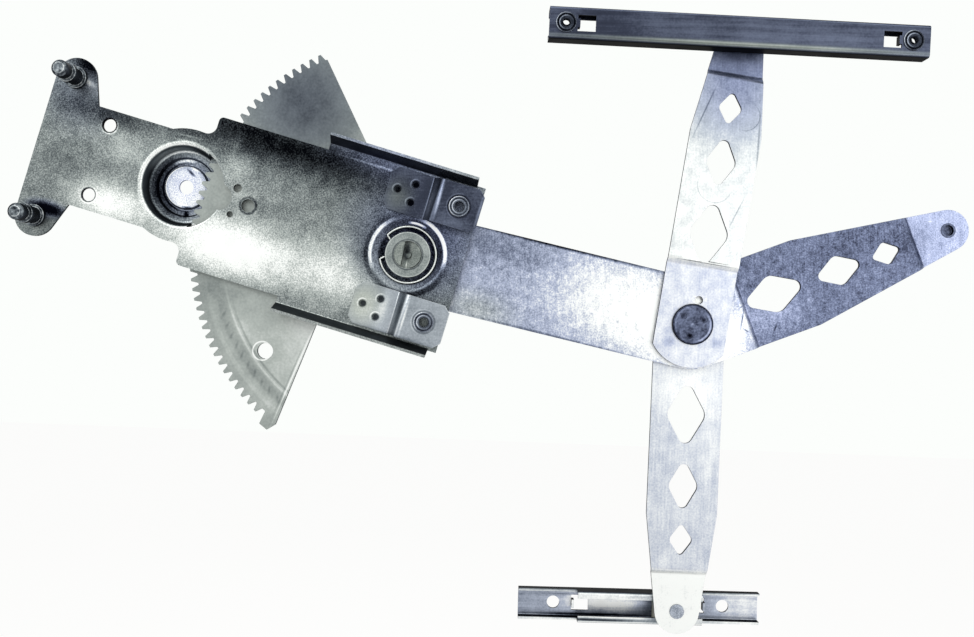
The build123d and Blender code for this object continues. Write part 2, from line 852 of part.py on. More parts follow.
def upper_equaliser_arm():
    """Front equaliser arm: its span stands forward between the pivot and the pad."""
    stations = [
        (-arm_pivot_end_radius - overcut, upper_arm_front),
        (arm_step_at, upper_arm_front),
        (arm_step_at + joggle_run, upper_span_front),
        (arm_pad_step_at, upper_span_front),
        (arm_pad_step_at + joggle_run, upper_arm_front),
        (scissor_to_upper_pin + arm_pad_radius + overcut, upper_arm_front),
    ]
    arm = joggled(equaliser_outline(scissor_to_upper_pin), stations, arm_thickness)
    return frame_at(scissor_pivot, upper_arm_angle) * arm


def lower_equaliser_arm():
    """Rear equaliser arm: straight, with its pad stepped back to the glass channel."""
    stations = [
        (-arm_pivot_end_radius - overcut, lower_arm_front),
        (arm_pad_step_at, lower_arm_front),
        (arm_pad_step_at + joggle_run, lower_pad_front),
        (scissor_to_lower_pin + arm_pad_radius + overcut, lower_pad_front),
    ]
    arm = joggled(equaliser_outline(scissor_to_lower_pin), stations, arm_thickness)
    return frame_at(scissor_pivot, lower_arm_angle) * arm


def scissor_rivet():
    """Large rivet that ties both equaliser arms together through the lift arm."""
    head_front = upper_arm_front - scissor_head_height
    tail_back = lower_arm_back + scissor_tail_height
    points = [
        (0, head_front),
        (scissor_head_radius - scissor_head_chamfer, head_front),
        (scissor_head_radius, head_front + scissor_head_chamfer),
        (scissor_head_radius, upper_arm_front),
        (scissor_shank_radius, upper_arm_front),
        (scissor_shank_radius, lower_arm_back),
        (scissor_tail_radius, lower_arm_back),
        (scissor_tail_radius, tail_back),
        (0, tail_back),
    ]
    rivet = turned(points)
    for angle in stake_angles:
        mark = disc(stake_radius, head_front - overcut, overcut + stake_depth)
        rivet -= Pos(*polar(stake_circle, angle)) * mark
    return frame_at(scissor_pivot) * rivet


def scissor_washers():
    """Thin washers between the lift arm and the arms each side of it."""
    fronts = [upper_arm_back + close_gap, lift_back + close_gap]
    washers = []
    for front in fronts:
        washer = disc(scissor_washer_radius, front, scissor_washer_thickness)
        washer -= drill(scissor_shank_radius + running, front, scissor_washer_thickness)
        washers.append(frame_at(scissor_pivot) * washer)
    return Compound(children=washers)


# ---- pins, shoes and channels ----------------------------------------------------------


def upper_slide_pin():
    """Pin from the upper arm's pad forward into the fixed channel's shoe."""
    end = upper_channel_front + channel_sheet + shoe_gap + pin_end_gap
    pin = disc(pin_radius, end, upper_arm_back - end)
    pin += disc(pin_back_head_radius, upper_arm_back, pin_back_head_height)
    return frame_at(upper_pin_axis) * pin


def lower_slide_pin():
    """Pin from the lower arm's pad back into the glass channel's shoe."""
    end = lower_channel_back - channel_sheet - shoe_gap - pin_end_gap
    pin = disc(pin_radius, lower_pad_front, end - lower_pad_front)
    pin += disc(pin_head_radius, lower_pad_front - pin_head_height, pin_head_height)
    return frame_at(lower_pin_axis) * pin


def slide_shoe(mouth_depth, arm_face_depth, towards):
    """Sliding shoe; towards is -1 if the channel's web faces the cabin, 1 if not."""
    inner_depth = mouth_depth + towards * (channel_sheet + shoe_gap)
    middle_depth = inner_depth + towards * shoe_depth / 2
    body = Box(shoe_length, shoe_height, shoe_depth)
    body = fillet(body.edges().filter_by(Axis.X), radius=shoe_edge_radius)
    shoe = Pos(0, 0, -middle_depth) * body
    neck_face = arm_face_depth + towards * face_gap
    neck_length = abs(middle_depth - neck_face)
    neck_middle = (middle_depth + neck_face) / 2
    shoe += Pos(0, 0, -neck_middle) * Box(shoe_neck_length, shoe_neck_height, neck_length)
    bore = Cylinder(pin_radius + running, 4 * channel_depth)
    return shoe - Pos(0, 0, -middle_depth) * bore


def upper_slide_shoe():
    """Shoe in the fixed channel."""
    shoe = slide_shoe(upper_channel_back, upper_arm_front, -1)
    return frame_at(upper_pin_axis, upper_channel_tilt) * shoe


def lower_slide_shoe():
    """Shoe in the glass channel."""
    shoe = slide_shoe(lower_channel_front, lower_pad_back, 1)
    return frame_at(lower_pin_axis, lower_channel_tilt) * shoe


def lipped_channel(length, window_middle):
    """Rolled C channel, mouth at local z 0, with a window and stop tab near each end."""
    inner_radius = channel_bend_radius - channel_sheet
    section = Pos(0, channel_depth / 2) * RectangleRounded(
        channel_height, channel_depth, channel_bend_radius
    )
    section -= Pos(0, channel_depth / 2) * RectangleRounded(
        channel_height - 2 * channel_sheet, channel_depth - 2 * channel_sheet, inner_radius
    )
    section -= Rectangle(channel_height - 2 * channel_lip, 4 * channel_sheet)
    plane = Plane(origin=(-length / 2, 0, 0), x_dir=(0, 1, 0), z_dir=(1, 0, 0))
    channel = extrude(plane * section, amount=length)
    for end in (-1, 1):
        window = Box(window_length, window_height, 3 * channel_sheet)
        channel -= Pos(end * window_middle, 0, channel_depth) * window
        tab_x = end * (window_middle + window_length / 2 - channel_sheet / 2)
        tab = Box(channel_sheet, tab_height, tab_depth)
        channel += Pos(tab_x, 0, channel_depth - tab_depth / 2) * tab
    return channel


def upper_channel():
    """Fixed guide channel, its web against the door's inner panel."""
    channel = lipped_channel(upper_channel_length, upper_window_middle)
    for end in (-1, 1):
        hole = Cylinder(nut_barrel_radius + running, 4 * channel_sheet)
        channel -= Pos(end * upper_nut_middle, 0, channel_depth) * hole
    place = Pos(upper_channel_shift, 0, -upper_channel_back)
    return frame_at(upper_pin_axis, upper_channel_tilt) * (place * channel)


def upper_channel_nuts():
    """Press nuts that fasten the fixed channel."""
    nuts = []
    for end in (-1, 1):
        nut = clinch_nut(upper_channel_front, channel_thread_radius)
        place = Pos(upper_channel_shift + end * upper_nut_middle, 0)
        nuts.append(frame_at(upper_pin_axis, upper_channel_tilt) * (place * nut))
    return Compound(children=nuts)


def lower_channel():
    """Glass channel: open towards the cabin, lips only along its middle."""
    channel = lipped_channel(lower_channel_length, lower_window_middle)
    end_length = (lower_channel_length - lower_lip_zone) / 2
    cut_depth = channel_depth - lower_end_flange
    for end in (-1, 1):
        end_middle = end * (lower_lip_zone + end_length) / 2
        end_cut = Box(end_length, 2 * channel_height, 2 * cut_depth)
        channel -= Pos(end_middle, 0, 0) * end_cut
        hole = Cylinder(lower_hole_radius, 4 * channel_sheet)
        channel -= Pos(end * lower_hole_middle, 0, channel_depth) * hole
    turned_channel = Rot(180, 0, 0) * channel
    place = Pos(lower_channel_shift, 0, -lower_channel_front)
    return frame_at(lower_pin_axis, lower_channel_tilt) * (place * turned_channel)


# ---- nodes -------------------------------------------------------------------------------

nodes = {
    "base_plate": base_plate(),
    "upper_bracket": bracket(1),
    "lower_bracket": bracket(-1),
    "upper_bracket_nut": bracket_nut(1),
    "lower_bracket_nut": bracket_nut(-1),
    "upper_door_stud": door_stud(1),
    "lower_door_stud": door_stud(-1),
    "pivot_bush": pivot_bush(),
    "pivot_snap_ring": pivot_snap_ring(),
    "pivot_post": pivot_post(),
    "pivot_washer": pivot_washer(),
    "sector_gear": sector_gear(),
    "sector_rivets": sector_rivet_set(),
    "lift_arm": lift_arm(),
    "lift_arm_pin": lift_pin(),
    "lift_arm_roller": lift_roller(),
    "lift_arm_roller_clip": lift_roller_clip(),
    "upper_equaliser_arm": upper_equaliser_arm(),
    "lower_equaliser_arm": lower_equaliser_arm(),
    "scissor_rivet": scissor_rivet(),
    "scissor_washers": scissor_washers(),
    "upper_slide_pin": upper_slide_pin(),
    "lower_slide_pin": lower_slide_pin(),
    "upper_slide_shoe": upper_slide_shoe(),
    "lower_slide_shoe": lower_slide_shoe(),
    "upper_channel": upper_channel(),
    "upper_channel_nuts": upper_channel_nuts(),
    "lower_channel": lower_channel(),
}

for name, shape in nodes.items():
    export_step(shape, f"parts/{name}.step")
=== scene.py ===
import json
import math

import bpy
import numpy as np
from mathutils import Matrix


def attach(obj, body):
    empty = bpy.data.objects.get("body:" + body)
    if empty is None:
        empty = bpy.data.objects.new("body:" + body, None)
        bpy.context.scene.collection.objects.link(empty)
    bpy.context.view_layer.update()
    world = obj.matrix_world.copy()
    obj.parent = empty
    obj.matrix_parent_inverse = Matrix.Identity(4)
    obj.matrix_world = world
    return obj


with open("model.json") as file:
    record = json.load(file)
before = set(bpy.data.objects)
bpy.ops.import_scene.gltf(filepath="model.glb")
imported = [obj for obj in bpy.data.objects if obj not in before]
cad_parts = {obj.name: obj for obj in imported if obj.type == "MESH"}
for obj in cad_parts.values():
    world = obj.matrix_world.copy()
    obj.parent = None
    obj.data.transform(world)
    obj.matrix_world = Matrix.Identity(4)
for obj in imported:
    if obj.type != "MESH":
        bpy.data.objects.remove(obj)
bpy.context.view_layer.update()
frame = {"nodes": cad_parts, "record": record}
nodes = frame["nodes"]

# ---- Studio ---------------------------------------------------------------------------
# The part hangs upright over a pale paper floor, as it hangs in a door, under three soft
# lamps. The backdrop is the pale world itself, which bare metal mirrors evenly.
# Places and lengths in this section are metres, unless a name or comment says otherwise.


def linear(code):
    """An sRGB hex colour as linear red, green, blue and an alpha of 1."""
    parts = [int(code[i : i + 2], 16) / 255 for i in (1, 3, 5)]
    return [p / 12.92 if p <= 0.04045 else ((p + 0.055) / 1.055) ** 2.4 for p in parts] + [1.0]


def add(tree, kind, inputs=None, stops=(), **settings):
    """Adds one node with its settings, its colour stops, and its linked or fixed inputs."""
    node = tree.nodes.new("ShaderNode" + kind)
    for name, value in settings.items():
        setattr(node, name, value)
    for i, (place, code) in enumerate(stops):
        ramp = node.color_ramp.elements
        stop = ramp[i] if i < 2 else ramp.new(place)
        stop.position = place
        stop.color = linear(code)
    for name, value in (inputs or {}).items():
        if isinstance(value, bpy.types.NodeSocket):
            tree.links.new(value, node.inputs[name])
        else:
            node.inputs[name].default_value = value
    return node


scene = bpy.context.scene
scene.view_settings.view_transform = "Standard"

# The camera looks along Y, square to the plate's cabin face and camera_distance
# millimetres in front of it, and is turned a few degrees in its own plane.
picture_width = 974
millimetres_per_pixel = 0.64
camera_distance = 620
camera_place = (0.1983, -0.629, -0.0776)
camera_tilt = -2.2
lens = bpy.data.cameras.new("camera")
lens.angle = 2 * math.atan(picture_width * millimetres_per_pixel / 2 / camera_distance)
lens.clip_start = 0.01
camera = bpy.data.objects.new("camera", lens)
camera.location = camera_place
camera.rotation_euler = (math.radians(90), math.radians(camera_tilt), 0)
scene.collection.objects.link(camera)
scene.camera = camera


def seen_ray(tree):
    """1 on a ray from the camera or one that metal or glass sends on, and otherwise 0."""
    rays = add(tree, "LightPath")
    seen = rays.outputs["Is Camera Ray"]
    for kind in ("Is Glossy Ray", "Is Transmission Ray"):
        either = add(tree, "Math", {0: seen, 1: rays.outputs[kind]}, operation="MAXIMUM")
        seen = either.outputs[0]
    return seen


world = bpy.data.worlds.new("pale room")
world.use_nodes = True
scene.world = world
tree = world.node_tree
tree.nodes.clear()
shown = add(tree, "Background", {"Color": linear("#FCFEFC"), "Strength": 1.0})
lighting = add(tree, "Background", {"Color": linear("#F4F6FA"), "Strength": 0.6})
room = add(
    tree, "MixShader", {"Fac": seen_ray(tree), 1: lighting.outputs[0], 2: shown.outputs[0]}
)
add(tree, "OutputWorld", {"Surface": room.outputs[0]})

# Each lamp's place, the side of its square and its power in watts. All aim at one point.
aim_point = np.array((0.2, 0.0, -0.08))
for name, place, size, power in (
    ("key lamp", (-0.35, -1.1, 0.75), 0.7, 4.0),
    ("fill lamp", (1.0, -0.9, 0.1), 0.9, 2.5),
    ("back lamp", (0.1, 1.1, 0.7), 0.9, 8.0),
):
    lamp = bpy.data.objects.new(name, bpy.data.lights.new(name, "AREA"))
    lamp.data.energy = power
    lamp.data.size = size
    lamp.location = place
    toward = aim_point - np.array(place)
    tip = math.atan2(math.hypot(toward[0], toward[1]), -toward[2])
    lamp.rotation_euler = (tip, 0, math.atan2(toward[1], toward[0]) - math.pi / 2)
    scene.collection.objects.link(lamp)

# The floor lies below the lowest reach of the channels at any pose. It shows white to the
# eye, with a small share of real paper that keeps the part's shadow.
floor_level = -0.66
floor_reach = 4.0
shown_share = 0.94
corners = [(-1, -1), (1, -1), (1, 1), (-1, 1)]
floor_mesh = bpy.data.meshes.new("floor")
floor_mesh.from_pydata(
    [(x * floor_reach, y * floor_reach, floor_level) for x, y in corners], [], [(0, 1, 2, 3)]
)
floor = bpy.data.objects.new("floor", floor_mesh)
scene.collection.objects.link(floor)
paper = bpy.data.materials.new("pale paper")
paper.use_nodes = True
tree = paper.node_tree
tree.nodes.clear()
mostly = add(tree, "Math", {0: seen_ray(tree), 1: shown_share}, operation="MULTIPLY")
shaded = add(tree, "BsdfDiffuse", {"Color": linear("#F1F2F0")})
shown = add(tree, "Emission", {"Color": linear("#FFFFFE"), "Strength": 1.0})
sheet = add(
    tree, "MixShader", {"Fac": mostly.outputs[0], 1: shaded.outputs[0], 2: shown.outputs[0]}
)
add(tree, "OutputMaterial", {"Surface": sheet.outputs[0]})
floor.data.materials.append(paper)

# ---- Base plate -----------------------------------------------------------------------
# Pressed from 2 mm cold-rolled strip and bright zinc-plated. The plating shows as a fine
# salt-and-pepper grain; the ears and the top edge are painted in shade, the lower left in
# light.

# Five tones from dark to light of plain zinc, and of zinc with a blue chromate film.
plain_zinc = (
    (0.0, "#020305"),
    (0.25, "#3C4143"),
    (0.5, "#7B827F"),
    (0.75, "#BBC1BA"),
    (1.0, "#FBFDFA"),
)
blue_zinc = (
    (0.0, "#05060F"),
    (0.25, "#393E51"),
    (0.5, "#757E9A"),
    (0.75, "#B4BDDC"),
    (1.0, "#FBFCFD"),
)


def spot(tree, place, centre, reach, turn, amount):
    """Soft oval: amount times a smooth step from 1 at the centre to 0 at the rim. The centre
    and the half-lengths are millimetres along X and Z; the turn is in degrees."""
    own = add(
        tree,
        "Mapping",
        {
            "Vector": place,
            "Location": (centre[0] / 1000, 0, centre[1] / 1000),
            "Rotation": (0, -math.radians(turn), 0),
            "Scale": (reach[0] / 1000, 1000, reach[1] / 1000),
        },
        vector_type="TEXTURE",
    )
    far = add(tree, "VectorMath", {0: own.outputs[0]}, operation="LENGTH")
    soft = add(
        tree,
        "MapRange",
        {
            "Value": far.outputs["Value"],
            "From Min": 0,
            "From Max": 1,
            "To Min": amount,
            "To Max": 0,
        },
        interpolation_type="SMOOTHSTEP",
    )
    return soft.outputs[0]


def ring(tree, place, centre, radius, half_width, amount, toward=None, spread=90):
    """Soft ring round an axis along Y: amount within a third of half_width of the radius and
    0 at half_width either side, in millimetres. Where a direction toward is given, it fades
    out spread degrees away from it."""
    own = add(
        tree,
        "VectorMath",
        {0: place, 1: (centre[0] / 1000, 0, centre[1] / 1000)},
        operation="SUBTRACT",
    )
    flat = add(tree, "VectorMath", {0: own.outputs[0], 1: (1, 0, 1)}, operation="MULTIPLY")
    far = add(tree, "VectorMath", {0: flat.outputs[0]}, operation="LENGTH")
    off = add(tree, "Math", {0: far.outputs["Value"], 1: radius / 1000}, operation="SUBTRACT")
    off = add(tree, "Math", {0: off.outputs[0]}, operation="ABSOLUTE")
    soft = add(
        tree,
        "MapRange",
        {
            "Value": off.outputs[0],
            "From Min": half_width / 3000,
            "From Max": half_width / 1000,
            "To Min": amount,
            "To Max": 0,
        },
        interpolation_type="SMOOTHSTEP",
    )
    if toward is None:
        return soft.outputs[0]
    aim = math.radians(toward)
    way = add(tree, "VectorMath", {0: flat.outputs[0]}, operation="NORMALIZE")
    turned = add(
        tree,
        "VectorMath",
        {0: way.outputs[0], 1: (math.cos(aim), 0, math.sin(aim))},
        operation="DOT_PRODUCT",
    )
    share = add(
        tree,
        "MapRange",
        {
            "Value": turned.outputs["Value"],
            "From Min": math.cos(math.radians(spread)),
            "From Max": 1,
            "To Min": 0,
            "To Max": 1,
        },
        interpolation_type="SMOOTHSTEP",
    )
    part = add(tree, "Math", {0: soft.outputs[0], 1: share.outputs[0]}, operation="MULTIPLY")
    return part.outputs[0]


def zinc_plated(
    name,
    tone,
    blue,
    spots=(),
    rings=(),
    tints=(),
    steps=(),
    grain=(0.8, 0.08),
    cloud=(18, 0.05),
    edge=0.16,
    edge_turn=(0.35, 0.85),
    bend_highlight=0.12,
    streak=(0, 0, 1.2),
    rough=(0.3, 0.46),
    metallic=0.85,
):
    """Zinc-plated steel. The tone, from 0 for black to 1 for white, is a base value plus
    soft spots, mostly painted light and shade, painted light and shade in steps from one
    depth along Y to another, grain and cloud, each a size in millimetres and a strength,
    and streaks of an angle, a strength and a width. Where the sheet turns away from Y it
    goes to the edge tone, a painted shade or light, and painted rings of highlight and
    shade and a painted highlight on its bends are added over that. The tone picks a colour
    from plain zinc and from blue zinc, mixed by blue and its tints. Real crystals and
    rolling lines are under 0.1 mm wide, which is less than the render shows, so grain and
    streaks are drawn as coarse as they need to show."""
    # The spans of noise that are stretched to a pattern's strength, and of the bend's turn.
    noise_low, noise_high = 0.3, 0.7
    streak_low, streak_high, streak_length = 0.35, 0.65, 20
    bend_start, bend_crest, bend_end = 0.7, 0.92, 0.995
    relief_strength, relief_height = 0.15, 0.00005
    plated = bpy.data.materials.new(name)
    plated.use_nodes = True
    tree = plated.node_tree
    tree.nodes.clear()
    coordinates = add(tree, "TexCoord")
    place = coordinates.outputs["Object"]
    spangle = add(tree, "TexNoise", {"Vector": place, "Scale": 1000 / grain[0], "Detail": 2.0})
    clouds = add(tree, "TexNoise", {"Vector": place, "Scale": 1000 / cloud[0], "Detail": 4.0})
    grained = add(
        tree,
        "MapRange",
        {
            "Value": spangle.outputs[0],
            "From Min": noise_low,
            "From Max": noise_high,
            "To Min": tone - grain[1],
            "To Max": tone + grain[1],
        },
        clamp=False,
    )
    cloudy = add(
        tree,
        "MapRange",
        {
            "Value": clouds.outputs[0],
            "From Min": noise_low,
            "From Max": noise_high,
            "To Min": -cloud[1],
            "To Max": cloud[1],
        },
    )
    depth = add(tree, "SeparateXYZ", {0: place}).outputs["Y"]
    parts = [cloudy.outputs[0]] + [spot(tree, place, *one) for one in spots]
    films = [spot(tree, place, *one) for one in tints]
    # Painted light and shade in steps by depth along Y.
    for front, back, lighter, bluer in steps:
        for amount, group in ((lighter, parts), (bluer, films)):
            stepped = add(
                tree,
                "MapRange",
                {
                    "Value": depth,
                    "From Min": front / 1000,
                    "From Max": back / 1000,
                    "To Min": 0,
                    "To Max": amount,
                },
            )
            group.append(stepped.outputs[0])
    if streak[1]:
        along = add(
            tree,
            "Mapping",
            {
                "Vector": place,
                "Rotation": (0, math.radians(streak[0]), 0),
                "Scale": (1, 1, streak_length),
            },
            vector_type="TEXTURE",
        )
        lines = add(
            tree,
            "TexNoise",
            {"Vector": along.outputs[0], "Scale": 1000 / streak[2], "Detail": 3.0},
        )
        drawn = add(
            tree,
            "MapRange",
            {
                "Value": lines.outputs[0],
                "From Min": streak_low,
                "From Max": streak_high,
                "To Min": -streak[1],
                "To Max": streak[1],
            },
        )
        parts.append(drawn.outputs[0])
    total = grained.outputs[0]
    for part in parts:
        total = add(tree, "Math", {0: total, 1: part}, operation="ADD").outputs[0]

    # Painted shade or light: where the sheet turns away from Y the tone goes to the edge tone.
    facing = add(
        tree,
        "VectorMath",
        {0: coordinates.outputs["Normal"], 1: (0, 1, 0)},
        operation="DOT_PRODUCT",
    )
    facing = add(tree, "Math", {0: facing.outputs["Value"]}, operation="ABSOLUTE")
    turned_away = add(
        tree,
        "MapRange",
        {
            "Value": facing.outputs[0],
            "From Min": edge_turn[0],
            "From Max": edge_turn[1],
            "To Min": 1,
            "To Max": 0,
        },
        interpolation_type="SMOOTHSTEP",
    )
    total = add(tree, "Mix", {0: turned_away.outputs[0], 2: total, 3: edge}).outputs[0]
    # A painted highlight along the bends, where the sheet turns part way from Y.
    into_bend = add(
        tree,
        "MapRange",
        {
            "Value": facing.outputs[0],
            "From Min": bend_start,
            "From Max": bend_crest,
            "To Min": 0,
            "To Max": bend_highlight,
        },
        interpolation_type="SMOOTHSTEP",
    )
    out_of_bend = add(
        tree,
        "MapRange",
        {
            "Value": facing.outputs[0],
            "From Min": bend_crest,
            "From Max": bend_end,
            "To Min": 1,
            "To Max": 0,
        },
        interpolation_type="SMOOTHSTEP",
    )
    bend = add(
        tree, "Math", {0: into_bend.outputs[0], 1: out_of_bend.outputs[0]}, operation="MULTIPLY"
    )
    # Painted rings of highlight and shade go over that.
    for part in [bend.outputs[0]] + [ring(tree, place, *one) for one in rings]:
        total = add(tree, "Math", {0: total, 1: part}, operation="ADD").outputs[0]

    film = blue
    for one in films:
        film = add(tree, "Math", {0: film, 1: one}, operation="ADD", use_clamp=True).outputs[0]
    plain = add(tree, "ValToRGB", {"Fac": total}, stops=plain_zinc)
    filmed = add(tree, "ValToRGB", {"Fac": total}, stops=blue_zinc)
    colour = add(
        tree,
        "Mix",
        {0: film, 6: plain.outputs[0], 7: filmed.outputs[0]},
        data_type="RGBA",
    )
    dull = add(
        tree,
        "MapRange",
        {
            "Value": clouds.outputs[0],
            "From Min": noise_low,
            "From Max": noise_high,
            "To Min": rough[0],
            "To Max": rough[1],
        },
    )
    relief = add(
        tree,
        "Bump",
        {
            "Height": spangle.outputs[0],
            "Strength": relief_strength,
            "Distance": relief_height,
        },
    )
    # The dark tint takes the pale room's reflection off sheet that is seen at a low angle.
    surface = add(
        tree,
        "BsdfPrincipled",
        {
            "Base Color": colour.outputs[2],
            "Metallic": metallic,
            "Specular Tint": linear("#3A3C40"),
            "Roughness": dull.outputs[0],
            "Normal": relief.outputs[0],
        },
    )
    add(tree, "OutputMaterial", {"Surface": surface.outputs[0]})
    return plated


def finish_node(name, material, edge=0.3):
    """Gives a CAD node its material, and its sharp edges a small radius in millimetres. Its
    flat faces are first joined into one, so that the radius runs true along them."""
    same_point = 1e-6
    flat_within, sharp_from = math.radians(0.2), math.radians(40)
    piece = nodes[name]
    piece.data.materials.clear()
    piece.data.materials.append(material)
    if edge:
        joined = piece.modifiers.new("one skin", "WELD")
        joined.merge_threshold = same_point
        flats = piece.modifiers.new("whole flats", "DECIMATE")
        flats.decimate_type = "DISSOLVE"
        flats.angle_limit = flat_within
        broken = piece.modifiers.new("broken edge", "BEVEL")
        broken.width = edge / 1000
        broken.segments = 2
        broken.limit_method = "ANGLE"
        broken.angle_limit = sharp_from
        broken.harden_normals = True


# The axes of the motor's cup and of the main pivot, and how far the line through them
# falls below X, in degrees.
cup = (0, 0)
pivot = (146.0, -38.7)
plate_lean = -14.85


def on_plate(along, across):
    """Row X and Z, in millimetres, of a place on the plate measured from the cup's axis."""
    lean = math.radians(plate_lean)
    return (
        along * math.cos(lean) - across * math.sin(lean),
        along * math.sin(lean) + across * math.cos(lean),
    )


plate_light_and_shade = (
    # Painted light and shade on the two ears, dark at their ends, and on the sheet between
    # them.
    ((-60, 76), (21, 14), -24, -0.66),
    ((-66.0, 66.0), (13, 3.0), -32, 0.70),
    ((-79, 52), (34, 22), -60, -0.13),
    ((-86, -18), (17, 5.5), -15, -0.85),
    ((-76, 14), (20, 16), -15, -0.08),
    # Painted shade above the neck and painted light below it.
    ((-47, 44), (40, 12), -15, -0.34),
    ((-36, 20), (26, 16), -15, 0.16),
    ((-46, -13), (42, 20), -15, 0.55),
    # Painted light on the body's lower half, painted shade along its top edge and on the sheet
    # round the pivot.
    ((36, -4), (20, 14), -15, 0.12),
    ((22, -36), (66, 32), -15, 0.50),
    ((62, -46), (80, 32), -15, 0.29),
    ((106, -56), (44, 28), -15, 0.24),
    ((95, -36), (40, 30), -15, 0.06),
    ((121, -42), (16, 24), -15, -0.18),
    ((48, 34), (80, 20), -15, -0.27),
    ((60, 28), (110, 26), -15, -0.27),
    ((110, 14), (60, 22), -15, -0.20),
    ((146, -22), (50, 50), -15, -0.22),
    ((152, -46), (44, 40), -15, -0.16),
    ((34, 28), (5, 16), -15, 0.1),
    ((96, -2), (50, 22), -15, -0.06),
    # Painted light and shade on the sheet above and beside the cup, and painted highlights and
    # shade in lines along the flanges' bends.
    ((-2, 34), (30, 9), -12, -0.16),
    ((34, 12), (16, 12), 30, 0.16),
    ((3.8, 31.5), (14, 1.2), -12, 0.2),
    ((1, 28.8), (12, 0.9), -10, 0.2),
    (on_plate(136, 54.6), (64, 2.0), -14.85, -0.35),
    (on_plate(136, 48.5), (70, 1.3), -14.85, 0.30),
    (on_plate(132, -54.8), (66, 1.6), -14.85, 0.45),
)
# Painted highlights and shade on the drawn steps of the cup and of the pivot's seat, then on
# the rims of the plate's holes.
plate_ring_light_and_shade = [
    (cup, 27.3, 2.0, 0.42, 120, 120),
    (cup, 23.8, 2.0, 0.40, 112, 50),
    (cup, 21.8, 3.2, -0.38, 200, 140),
    (cup, 17.6, 3.6, -0.40, 200, 150),
    (cup, 17.6, 1.4, 0.5, 95, 28),
    (cup, 13.6, 0.8, 0.5, 160, 100),
    (cup, 15.4, 1.0, -0.5, 190, 120),
    (cup, 6.8, 9.5, 0.36),
    (pivot, 24.4, 1.7, 0.72, 160, 56),
    (pivot, 24.0, 1.8, 0.95, 26, 54),
    (pivot, 21.4, 2.6, -0.20, 70, 110),
    (pivot, 20.8, 2.4, -0.22, -30, 70),
    (pivot, 25.5, 2.6, -0.20, -80, 80),
    (pivot, 20.7, 1.0, 0.9, 74, 20),
    (pivot, 26.6, 2.6, -0.16, 200, 150),
    (pivot, 16.8, 2.6, -0.22),
    (on_plate(44.1, 0), 5.2, 1.1, -0.3),
]
plate_ring_light_and_shade += [(on_plate(-55.6, side * 23.2), 5.4, 0.7, 0.3, -60, 150) for side in (1, -1)]
plate_ring_light_and_shade += [(on_plate(-55.6, side * 23.2), 4.2, 0.9, -0.6) for side in (1, -1)]
# Painted bright and dark lines, as the light and shade of burrs, where the pinion's window is
# cut in the cup.
plate_light_and_shade += (
    ((4.7, 12.4), (4.4, 1.3), -35, 0.55),
    ((7.6, 11.6), (3.0, 0.9), -40, 0.5),
    ((2.9, 9.4), (5.0, 1.6), -42, -0.7),
    ((-2.4, -11.2), (5.0, 0.9), -10, 0.5),
    ((1.0, -13.2), (5.0, 1.4), -5, -0.6),
    ((0.0, -17.6), (2.6, 3.4), 0, -0.7),
)
plate_tints = (
    ((0, 0), (30, 30), 0, 0.9),
    ((160, -24), (70, 60), -15, 0.9),
    ((124, 22), (60, 20), -15, 0.7),
    ((-66, 60), (40, 40), 0, 0.3),
    ((-86, -18), (19, 8), -15, 0.9),
)
# Bright zinc on cold-rolled sheet: its crystals glitter as a fine grain, soft to the light. Its
# flanges carry a painted shade where they turn away.
bright_sheet = zinc_plated(
    "bright zinc-plated sheet",
    0.51,
    0.1,
    plate_light_and_shade,
    plate_ring_light_and_shade,
    plate_tints,
    grain=(0.8, 0.16),
    cloud=(9, 0.07),
    edge=0.27,
    rough=(0.32, 0.5),
)
finish_node("base_plate", bright_sheet)

# ---- Brackets and their press nuts ----------------------------------------------------
# Two joggled straps of the same strip, each clinched to the plate at three dimples and
# smoother than it. The nuts are cold-formed steel, pressed in and oily in the thread.

bracket_across = 38.2
dimple_along = 139.7
dimple_circle = 6.9
nut_along = 174.0


def bracket_light_and_shade(side, shade):
    """Painted shade in the three clinched dimples with painted highlights on their rims, and
    painted shade and a painted highlight round the nut's seat, for one bracket.
    """
    marks = []
    for turn in (60, 180, 300):
        aim = math.radians(turn)
        at = on_plate(
            dimple_along + dimple_circle * math.cos(aim),
            side * bracket_across + dimple_circle * math.sin(aim),
        )
        marks += [(at, 0, 3.3, -1.3 * shade), (at, 3.3, 0.6, 0.2, 130, 110)]
    at = on_plate(nut_along, side * bracket_across)
    marks += [(at, 7.1, 0.8, -0.15), (at, 7.9, 0.7, 0.12, 160, 120)]
    return marks


# Smooth zinc that faces away from the light, painted in shade: slate blue, with painted
# highlights along its step and on its turned edges.
upper_strap = zinc_plated(
    "smooth zinc-plated strap, painted shade",
    0.27,
    0.75,
    (
        (on_plate(132, 33), (14, 16), -15, 0.12),
        (on_plate(150, 38), (9, 20), -15, -0.06),
        (on_plate(155.4, 38), (3.4, 20), -15, 0.34),
        (on_plate(160.6, 38), (1.5, 18), -15, 0.5),
        (on_plate(172, 27), (18, 7), -15, 0.10),
        (on_plate(187, 38), (1.4, 16), -15, 0.25),
    ),
    bracket_light_and_shade(1, 0.24),
    ((on_plate(134, 34), (16, 18), -15, -0.6),),
    grain=(1.0, 0.04),
    edge=0.55,
    edge_turn=(0.1, 0.5),
    bend_highlight=0.2,
    streak=(90, 0.02, 1.5),
)
